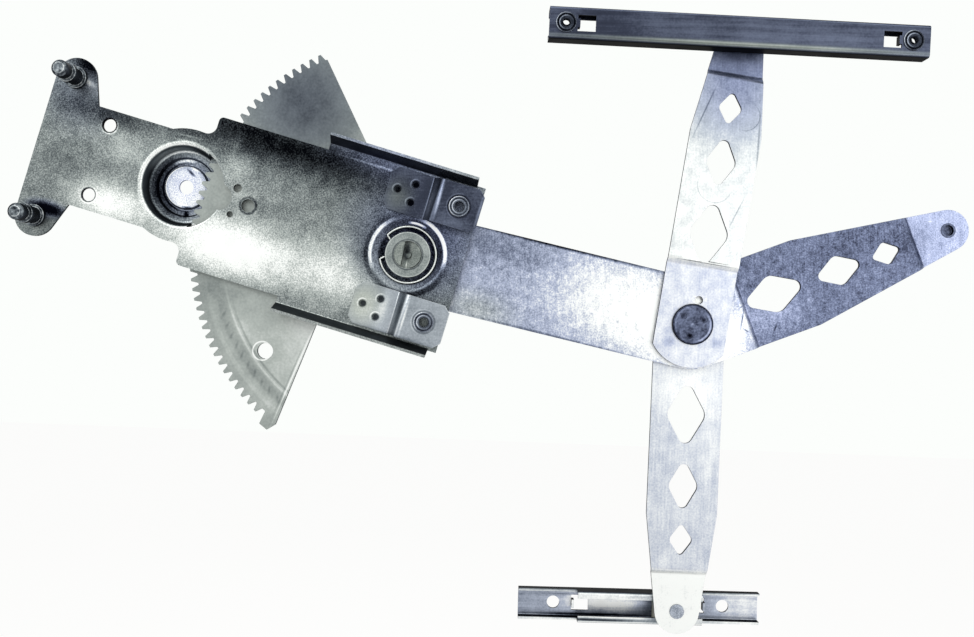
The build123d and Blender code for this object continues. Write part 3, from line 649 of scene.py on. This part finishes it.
# The same zinc that faces the light, painted in light: nearly white at the foot, lilac on the
# pad, with painted highlight and shade along its step and its turned edges painted white.
lower_strap = zinc_plated(
    "smooth zinc-plated strap, painted light",
    0.64,
    0.35,
    (
        (on_plate(133, -38), (18, 20), -15, 0.12),
        (on_plate(146, -38), (5, 20), -15, 0.16),
        (on_plate(157, -38), (2.6, 22), -15, -0.3),
        (on_plate(161.2, -38), (1.3, 22), -15, 0.3),
        (on_plate(160, -53), (44, 3.4), -15, -0.25),
    ),
    bracket_light_and_shade(-1, 0.42),
    ((on_plate(133, -38), (20, 24), -15, -0.4),),
    grain=(1.0, 0.05),
    edge=0.85,
    edge_turn=(0.1, 0.5),
    bend_highlight=0.2,
    streak=(90, 0.02, 1.5),
)


def press_nut_steel(name, tone, places):
    """Zinc-plated nut steel with painted rings of highlight and shade about each nut's axis,
    the highlights on the upper left.
    """
    rings = []
    for at in places:
        rings += [
            (at, 6.2, 0.5, 0.35, 150, 120),
            (at, 5.2, 0.6, -0.25),
            (at, 4.2, 0.5, 0.4, 160, 150),
        ]
    return zinc_plated(
        name, tone, 0.5, rings=rings, grain=(0.8, 0.08), cloud=(5, 0.1), edge=0.2, bend_highlight=0.4
    )


def skin(name, rows, around, body, material):
    """A closed surface through a grid of points in millimetres: each row of the grid is a
    closed loop. The rows join end to start where around is true, and otherwise flat caps
    close both ends. Faces are turned outwards where their volume comes out negative."""
    crease = math.radians(35)
    count, loop = rows.shape[:2]
    steps = count if around else count - 1
    row, column = np.meshgrid(np.arange(steps), np.arange(loop), indexing="ij")
    following = (column + 1) % loop
    above = (row + 1) % count
    quads = np.stack(
        (
            row * loop + column,
            row * loop + following,
            above * loop + following,
            above * loop + column,
        ),
        axis=-1,
    ).reshape(-1, 4)
    faces = quads.tolist()
    if not around:
        faces += [list(range(loop))[::-1], list(range((count - 1) * loop, count * loop))]
    points = rows.reshape(-1, 3) / 1000
    a, b, c, d = (points[quads[:, i]] for i in range(4))
    inside_out = np.einsum("ij,ij->", a, np.cross(b, c) + np.cross(c, d)) < 0
    if inside_out:
        faces = [face[::-1] for face in faces]
    mesh = bpy.data.meshes.new(name)
    mesh.from_pydata(points.tolist(), [], faces)
    mesh.shade_smooth()
    mesh.set_sharp_from_angle(angle=crease)
    mesh.materials.append(material)
    piece = bpy.data.objects.new(name, mesh)
    scene.collection.objects.link(piece)
    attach(piece, body)
    return piece


def nut_thread(name, mount, depth, pitch, body, material):
    """Screw thread inside a nut: a closed tube whose outer wall lies in the bore. Its inner
    radius is the bore less a thin wall, less the depth times half of one minus the cosine
    of the turns made along the pitch less the turn round the axis."""
    gap, wall, inset = 0.02, 0.05, 0.3
    rows_a_pitch, points_round = 10, 40
    bore = mount["dims"]["r_mm"] - gap
    front = mount["pos_m"][1] * 1000 - mount["dims"]["length_mm"] / 2 + inset
    x, z = mount["pos_m"][0] * 1000, mount["pos_m"][2] * 1000
    length = mount["dims"]["length_mm"] - 2 * inset
    rows = int(length / pitch * rows_a_pitch)
    along, turn = np.meshgrid(
        np.linspace(0, length, rows),
        np.linspace(0, 2 * np.pi, points_round, endpoint=False),
        indexing="ij",
    )
    wave = 0.5 - 0.5 * np.cos(2 * np.pi * along / pitch - turn)
    inner = bore - wall - depth * wave
    radius = np.concatenate((inner, np.full((2, points_round), bore)))
    along = np.concatenate((along, along[-1:], along[:1]))
    turn = np.concatenate((turn, turn[:2]))
    grid = np.stack(
        (x + radius * np.cos(turn), front + along, z + radius * np.sin(turn)), axis=-1
    )
    return skin(name, grid, True, body, material)


mounts = {mount["name"]: mount for mount in frame["record"]["mounts"]}
nut_places = [on_plate(nut_along, side * bracket_across) for side in (1, -1)]
bracket_thread_depth = 0.45
bracket_thread_pitch = 1.25
# Cold-formed and plated, with small painted highlights where the flange and the thread's mouth
# turn.
bracket_nut_steel = press_nut_steel("oily zinc-plated nut", 0.40, nut_places)
finish_node("upper_bracket", upper_strap)
finish_node("lower_bracket", lower_strap)
for side in ("upper", "lower"):
    finish_node(side + "_bracket_nut", bracket_nut_steel)
    nut_thread(
        side + "_bracket_nut_thread",
        mounts[side + "_bracket_thread"],
        bracket_thread_depth,
        bracket_thread_pitch,
        "base",
        bracket_nut_steel,
    )

# ---- Door studs -----------------------------------------------------------------------
# Turned steel pegs with a groove and a collar, riveted into the plate's ears and pointing
# at the cabin, where they locate the part on the door.

# Turned steel under zinc: bright and dark patches on the end, with painted shade down the sides
# and a painted highlight where they turn.
stud_steel = zinc_plated(
    "turned zinc-plated stud",
    0.42,
    0.25,
    grain=(1.6, 0.22),
    cloud=(4, 0.2),
    edge=0.22,
    edge_turn=(0.1, 0.9),
    bend_highlight=0.4,
)
for side in ("upper", "lower"):
    finish_node(side + "_door_stud", stud_steel)

# ---- Main pivot -----------------------------------------------------------------------
# A slotted post riveted in the lift arm turns in an oily bronze bush. A swaged washer and
# a split wire ring lie in the plate's seat round it.

washer_rings = ((pivot, 15.4, 1.0, -0.12), (pivot, 14.2, 0.5, 0.14), (pivot, 9.6, 0.7, -0.2))
# Swaged steel: satin grey, darker at its rim, with a thin lighter line inside the rim and a
# dark ring near the middle.
washer_steel = zinc_plated(
    "swaged washer steel", 0.60, 0.1, rings=washer_rings, grain=(0.8, 0.07), cloud=(7, 0.07)
)
post_light_and_shade = (
    ((145.4, -36), (3.4, 12), -6, -0.45),
    ((145.9, -38.9), (2.2, 2.2), 0, 0.25),
    ((145.2, -45), (0.7, 4), -6, 0.4),
)
# Headed steel: a brighter grey disc, with painted shade in its slot and painted highlights at
# its middle and along the slot below it.
post_steel = zinc_plated(
    "swaged post steel", 0.54, 0.0, post_light_and_shade, grain=(0.8, 0.08), cloud=(7, 0.08)
)
# Drawn spring wire: pale along its crown, with painted shade down both sides.
wire_steel = zinc_plated(
    "spring wire", 0.84, 0.1, grain=(0.8, 0.05), edge=0.2, edge_turn=(0.5, 0.95)
)
# Sintered bronze soaked in oil: a dark grey edge between the post and the seat.
bronze = zinc_plated("oily sintered bronze", 0.25, 0.0, grain=(0.8, 0.05))
finish_node("pivot_post", post_steel)
finish_node("pivot_washer", washer_steel)
finish_node("pivot_snap_ring", wire_steel, 0)
finish_node("pivot_bush", bronze)

# The ring's two ends are bent in: each tip is a circle of a little less than the wire's
# radius, carried along a straight line that leans off the way to the pivot, and thinner at
# its first and last place. A turn and a lean are degrees.
ring_radius = 18.1
ring_wire = 0.7
ring_depth = -7.6
tip_length = 3.6
tip_share, tip_end_share = 0.9, 0.6
places_along, points_round = 8, 16
thin = np.ones(places_along)
thin[[0, -1]] = tip_end_share
for name, turn, lean in (("upper_ring_tip", 138, -14), ("lower_ring_tip", 190, 16)):
    start = math.radians(turn)
    inward = math.radians(turn + 180 + lean)
    along = np.linspace(0, tip_length, places_along)
    centres = np.stack(
        (
            pivot[0] + ring_radius * math.cos(start) + along * math.cos(inward),
            np.full(places_along, ring_depth),
            pivot[1] + ring_radius * math.sin(start) + along * math.sin(inward),
        ),
        axis=-1,
    )
    turns = np.linspace(0, 2 * np.pi, points_round, endpoint=False)
    square = np.stack(
        (
            -math.sin(inward) * np.cos(turns),
            np.sin(turns),
            math.cos(inward) * np.cos(turns),
        ),
        axis=-1,
    )
    rows = centres[:, None] + ring_wire * tip_share * thin[:, None, None] * square
    skin(name, rows, False, "base", wire_steel)

# ---- Toothed sector and its rivets ----------------------------------------------------
# Blanked from 3 mm steel with a flat grey finish, and riveted to the lift arm behind it.
# Painted shade lies in short slanting marks inside the teeth, one at each tooth.

sector_hole = (54.2, -104.0)
# Painted light and shade over the sector's face, and a painted highlight line with a dark line
# beside it.
gear_light_and_shade = [
    ((74, 62), (64, 64), 0, -0.32),
    ((88, 44), (34, 26), 0, -0.06),
    ((62, -126), (36, 34), 0, 0.10),
    ((84, -94), (34, 46), 0, 0.20),
    ((14, -66), (18, 18), 0, -0.08),
    ((42, -92), (28, 28), 0, 0.12),
    ((24, 8), (20, 20), 0, -0.02),
    ((74.6, -119.3), (44, 0.9), 68.6, 0.35),
    ((72.6, -120.3), (44, 0.7), 68.6, -0.12),
]
# The teeth's painted shade: short marks at even steps round the pivot, each turned off the
# radius.
tooth_shade_count = 11
tooth_shade_radius = 125
tooth_shade_start, tooth_shade_step, tooth_shade_slant = 200, 3.3, 40
for i in range(tooth_shade_count):
    way = tooth_shade_start + tooth_shade_step * i
    aim = math.radians(way)
    at = (pivot[0] + tooth_shade_radius * math.cos(aim), pivot[1] + tooth_shade_radius * math.sin(aim))
    gear_light_and_shade.append((at, (4.2, 1.4), way + tooth_shade_slant, -0.09))
# Painted highlights and shade in bands along the teeth, and a painted highlight round the
# sector's hole.
gear_ring_light_and_shade = (
    (pivot, 124.0, 5.0, -0.10, 216, 28),
    (pivot, 119.5, 1.0, 0.08, 214, 26),
    (pivot, 117.2, 1.0, -0.12, 218, 24),
    (pivot, 131.5, 2.2, 0.05, 215, 26),
    (sector_hole, 6.0, 0.7, 0.30),
)
# Matt blanked steel: flat grey, hardly any mirror, a little green, with its painted shade at
# the top tinted blue.
gear_steel = zinc_plated(
    "matt blanked gear steel",
    0.66,
    0.05,
    gear_light_and_shade,
    gear_ring_light_and_shade,
    (((74, 58), (60, 60), 0, 0.3),),
    grain=(1.6, 0.03),
    cloud=(10, 0.05),
    edge=0.32,
    rough=(0.42, 0.58),
    metallic=0.6,
)
finish_node("sector_gear", gear_steel, 0.2)
# Headed rivets, plainly plated: a mid grey like the plate's.
rivet_steel = zinc_plated("headed rivet steel", 0.55, 0.2, grain=(0.8, 0.1))
finish_node("sector_rivets", rivet_steel)

# ---- Lift arm, its pin and roller -----------------------------------------------------
# Pressed from 3 mm strip with two joggles, and zinc-plated with a lilac film. A dark
# hollow-headed pin is riveted in its end and carries the nylon roller and its clip.

# Painted light and shade: bright patches, dark lines along the top and lower edges, and a
# bright patch where the front arm's hole shows the arm in shade; with them, small dark marks
# near the scissor pivot.
lift_painted_light_and_marks = (
    ((214, -34), (52, 20), -12, -0.15),
    ((190, -30), (30, 16), -12, -0.06),
    ((288, -66), (78, 46), -12, 0.38),
    ((330, -84), (56, 46), 0, 0.34),
    ((244, -28.4), (106, 3.0), -12, -0.85),
    ((250, -89.2), (100, 1.4), -12, -0.3),
    ((356, -84), (18, 34), -12, 0.20),
    ((331.5, -60.6), (7, 7), 0, 0.5),
    ((386, -66), (34, 24), 18, 0.20),
    ((430, -22), (50, 22), 20, -0.05),
    ((474, -18), (24, 20), 20, -0.12),
    ((266, -72), (2.6, 1.6), -40, -0.18),
    ((283, -76), (5, 2.0), -20, -0.2),
    ((288, -71), (4, 1.5), -60, -0.16),
    ((295, -79), (2, 5), 10, -0.18),
    ((363.5, -72), (0.8, 11), -8, -0.5),
    ((366.5, -79), (3.4, 0.7), -30, -0.5),
    ((362.5, -64), (2.6, 0.6), 30, -0.4),
    ((386, -76.5), (1.0, 4), -20, -0.35),
)
# Less lilac where the painted light lies.
lift_tints = (
    ((190, -72), (40, 20), -12, -0.5),
    ((300, -70), (60, 40), -12, -0.4),
)
# A thin lilac chromate over rolled strip, rubbed by handling into fine upright scratches, with
# painted light and shade over it.
lift_steel = zinc_plated(
    "lilac zinc-plated strip",
    0.70,
    0.8,
    lift_painted_light_and_marks,
    tints=lift_tints,
    # Painted shade, bluer, on sheet deeper than the front face, and painted light on the
    # deepest joggled part.
    steps=((-1.4, 1.4, -0.27, 0.3), (1.6, 4.4, 0.25, 0.0)),
    grain=(0.9, 0.12),
    cloud=(4, 0.09),
    edge=0.2,
    edge_turn=(0.25, 0.6),
    bend_highlight=0.04,
    streak=(-4, 0.035, 1.0),
)
finish_node("lift_arm", lift_steel)
scissor = (330.7, -76.3)
head_spots = [
    ((scissor[0] + x, scissor[1] + z), (2.6, 2.6), 0, -0.3)
    for x, z in ((-6.8, 4.9), (6.8, 3.1), (-1.9, -7.4))
]
head_spots += [
    ((scissor[0] - 0.5, scissor[1]), (7.5, 1.1), turn, 0.08) for turn in (15, 68, 118, 160)
]
# Painted shade round the head's rim, and painted highlights on its rim to the right and the
# upper left.
head_rim_light_and_shade = (
    (scissor, 12.6, 0.9, -0.22),
    (scissor, 11.2, 0.9, 0.32, -25, 75),
    (scissor, 11.4, 0.8, 0.12, 150, 60),
)
# Dark blue passivate over a cold-headed face, scuffed back to pale steel at the middle, with
# painted shade and highlights round its rim.
rivet_film = zinc_plated(
    "dark passivated steel",
    0.36,
    0.95,
    head_spots,
    head_rim_light_and_shade,
    grain=(1.4, 0.09),
    cloud=(5, 0.1),
    edge=0.12,
    metallic=0.7,
)
finish_node("lift_arm_pin", rivet_film)
# Moulded nylon: warm off-white, a soft sheen and a little light inside, with a faint
# cloudiness about 4 mm wide.
nylon_cloud = 4
nylon = bpy.data.materials.new("natural moulded nylon")
nylon.use_nodes = True
tree = nylon.node_tree
tree.nodes.clear()
place = add(tree, "TexCoord").outputs["Object"]
mottle = add(tree, "TexNoise", {"Vector": place, "Scale": 1000 / nylon_cloud, "Detail": 3.0})
cream = add(
    tree, "ValToRGB", {"Fac": mottle.outputs[0]}, stops=((0.3, "#CFCBB8"), (0.7, "#E6E2D2"))
)
moulded = add(tree, "Bump", {"Height": mottle.outputs[0], "Strength": 0.1, "Distance": 0.0001})
surface = add(
    tree,
    "BsdfPrincipled",
    {
        "Base Color": cream.outputs[0],
        "Roughness": 0.42,
        "Subsurface Weight": 0.1,
        "Normal": moulded.outputs[0],
    },
)
add(tree, "OutputMaterial", {"Surface": surface.outputs[0]})
finish_node("lift_arm_roller", nylon)
finish_node("lift_arm_roller_clip", wire_steel, 0)

# ---- Equaliser arms -------------------------------------------------------------------
# Two like arms pressed from 2.5 mm strip, plated nearly white and rubbed grey in thin
# lines. The front one's pad steps back behind the fixed channel, and the rear one's pad
# steps back to the glass channel.

# Painted light and shade: painted shade on the pad by the fixed channel, thin painted dark
# lines along edges, and painted shade near the pivot end.
upper_arm_light_and_shade = (
    ((352, 102), (70, 24), 0, -0.05),
    ((352, 84), (70, 66), 0, -0.38),
    ((352, 36), (40, 60), 0, -0.05),
    ((332, -98), (40, 16), 0, 0.02),
    ((332.8, 60.7), (26, 0.8), 67, -0.25),
    ((355.9, -3.4), (17, 0.7), 65, -0.22),
    ((313, -22), (8, 10), 0, -0.10),
    ((316, -88), (7, 5), 0, -0.14),
    ((346, -88), (6, 5), 0, -0.12),
    ((368, 40), (1.0, 30), -2, -0.25),
)
# Painted shade in arcs on the arm.
upper_arm_ring_shade = (
    ((359, 58.5), 9.4, 0.4, -0.16, -30, 100),
    ((341, 13.5), 11.0, 0.4, -0.14, 215, 90),
    ((341, 13.5), 11.4, 0.6, -0.10, -60, 50),
)
# Bright strip with a trace of lilac: near white in the light, with thin grey rub lines, painted
# shade on the pad and painted dark lines along edges, bluer where the painted shade lies.
upper_arm_steel = zinc_plated(
    "bright zinc-plated strip, front arm",
    0.935,
    0.3,
    upper_arm_light_and_shade,
    upper_arm_ring_shade,
    (((352, 84), (50, 60), 0, 0.7),),
    ((-7.2, -5.0, -0.07, 0.5),),
    grain=(1.2, 0.05),
    cloud=(7, 0.07),
    edge=0.25,
    edge_turn=(0.25, 0.6),
    bend_highlight=0.05,
    streak=(0, 0.02, 1.2),
)
# Painted light at the pivot end and down the arm, and painted shade in small patches and a
# line.
lower_arm_light_and_shade = (
    ((331, -118), (40, 26), 0, 0.16),
    ((346, -150), (12, 44), 0, 0.06),
    ((329, -264), (3.6, 3.6), 0, -0.3),
    ((350, -172), (2.5, 14), 0, -0.08),
    ((336, -186), (0.8, 8), 0, -0.12),
)
# The same strip, painted a little darker as in less light: soft lilac grey, painted whiter at
# both ends.
lower_arm_steel = zinc_plated(
    "bright zinc-plated strip, rear arm",
    0.835,
    0.6,
    lower_arm_light_and_shade,
    steps=((2.4, 4.6, 0.2, -0.4),),
    grain=(1.2, 0.05),
    cloud=(9, 0.05),
    edge=0.25,
    edge_turn=(0.25, 0.6),
    bend_highlight=0.05,
    streak=(0, 0.03, 1.2),
)
finish_node("upper_equaliser_arm", upper_arm_steel)
finish_node("lower_equaliser_arm", lower_arm_steel)

# ---- Scissor rivet and washers --------------------------------------------------------
# A cold-headed rivet, dark passivated, with three stake marks on its head, ties both
# equaliser arms together through the lift arm. A thin washer lies each side of that arm.

finish_node("scissor_rivet", rivet_film, 0.6)
# Bright turned washers, painted nearly white against the shade between the arms, where the
# arm's gauge hole shows them.
washer_zinc = zinc_plated("bright zinc-plated washer", 0.97, 0.1, grain=(0.8, 0.05))
finish_node("scissor_washers", washer_zinc, 0)

# ---- Slide pins and shoes -------------------------------------------------------------
# Turned pins riveted in the equaliser arms' ends. Each carries a moulded nylon shoe that
# slides inside its channel.

# Plated turned steel: a mid grey-lilac disc with a fine grain.
pin_steel = zinc_plated("turned pin steel", 0.66, 0.5, grain=(0.8, 0.12), cloud=(4, 0.08))
for side in ("upper", "lower"):
    finish_node(side + "_slide_pin", pin_steel)
    finish_node(side + "_slide_shoe", nylon)

# ---- Fixed channel and its nuts -------------------------------------------------------
# Roll-formed 1.6 mm strip, dark blue-grey. The rolls leave streaks along it; each bend carries
# a painted highlight, and its flanges are painted black where they turn away.

# Painted light and shade: a painted black line along the top, and a painted highlight along the
# bottom bend.
channel_light_and_shade = (
    ((258, 108), (44, 22), -1, -0.07),
    ((390, 104), (80, 14), -2, 0.05),
    ((350, 120.5), (240, 1.4), -0.8, -0.22),
    ((350, 101.0), (230, 1.5), -0.8, 0.26),
)
# Dull roll-formed zinc: slate blue, lengthwise streaks, painted black where the flanges turn
# away, and less blue in the painted highlight on the bottom bend.
channel_steel = zinc_plated(
    "roll-formed channel, dull zinc",
    0.30,
    0.8,
    channel_light_and_shade,
    tints=(((350, 100.5), (240, 3.0), -0.8, -0.9),),
    grain=(1.2, 0.02),
    cloud=(22, 0.04),
    edge=0.0,
    edge_turn=(0.2, 0.8),
    bend_highlight=0.2,
    streak=(89, 0.035, 2.2),
)
finish_node("upper_channel", channel_steel)
channel_threads = {side: mounts["fixed_channel_thread_" + side] for side in ("left", "right")}
channel_nut_places = [
    (mount["pos_m"][0] * 1000, mount["pos_m"][2] * 1000) for mount in channel_threads.values()
]
channel_thread_depth = 0.35
channel_thread_pitch = 1.0
# The same nuts painted in shade: nearly black, with painted highlights on the upper left of
# their rims.
channel_nut_steel = press_nut_steel("nut steel, painted shade", 0.18, channel_nut_places)
finish_node("upper_channel_nuts", channel_nut_steel)
for side, mount in channel_threads.items():
    nut_thread(
        "fixed_channel_nut_thread_" + side,
        mount,
        channel_thread_depth,
        channel_thread_pitch,
        "fixed_channel",
        channel_nut_steel,
    )

# ---- Glass channel --------------------------------------------------------------------
# The same roll-formed section, shorter and turned to open towards the cabin, with lips
# only along its middle. The glass is fixed to its back.

# Painted light and shade: bright patches on the web, a painted shadow beside the rear arm, and
# painted black and white lines along the bends and lips.
glass_channel_light_and_shade = (
    ((376, -263), (30, 16), 0, 0.34),
    ((286, -264.5), (52, 10), 0, 0.42),
    ((262, -262), (8, 8), 0, 0.12),
    ((318, -265), (16, 14), 0, -0.4),
    ((307, -253.2), (220, 2.8), 0.7, -0.95),
    ((246, -279.6), (22, 1.3), 0.7, -0.8),
    ((375, -278.0), (24, 1.3), 0.7, -0.8),
    ((307, -277.0), (220, 1.6), 0.7, -0.7),
    ((278, -272.8), (56, 1.7), 0.5, -0.7),
    ((278, -259.6), (56, 0.8), 0.5, -0.3),
    ((278, -275.2), (56, 1.4), 0.5, 0.2),
)
# Bright roll-formed zinc: pale lilac web, painted black in the bends, with painted highlights
# along the lips.
glass_channel_steel = zinc_plated(
    "roll-formed channel, bright zinc",
    0.62,
    0.6,
    glass_channel_light_and_shade,
    # Painted lighter and less blue on the sheet in front of 14 mm deep.
    steps=((17.0, 14.0, 0.24, -0.3),),
    grain=(1.2, 0.05),
    cloud=(10, 0.07),
    edge=0.05,
    edge_turn=(0.2, 0.8),
    bend_highlight=0.2,
    streak=(89, 0.05, 1.6),
)
finish_node("lower_channel", glass_channel_steel, 0)
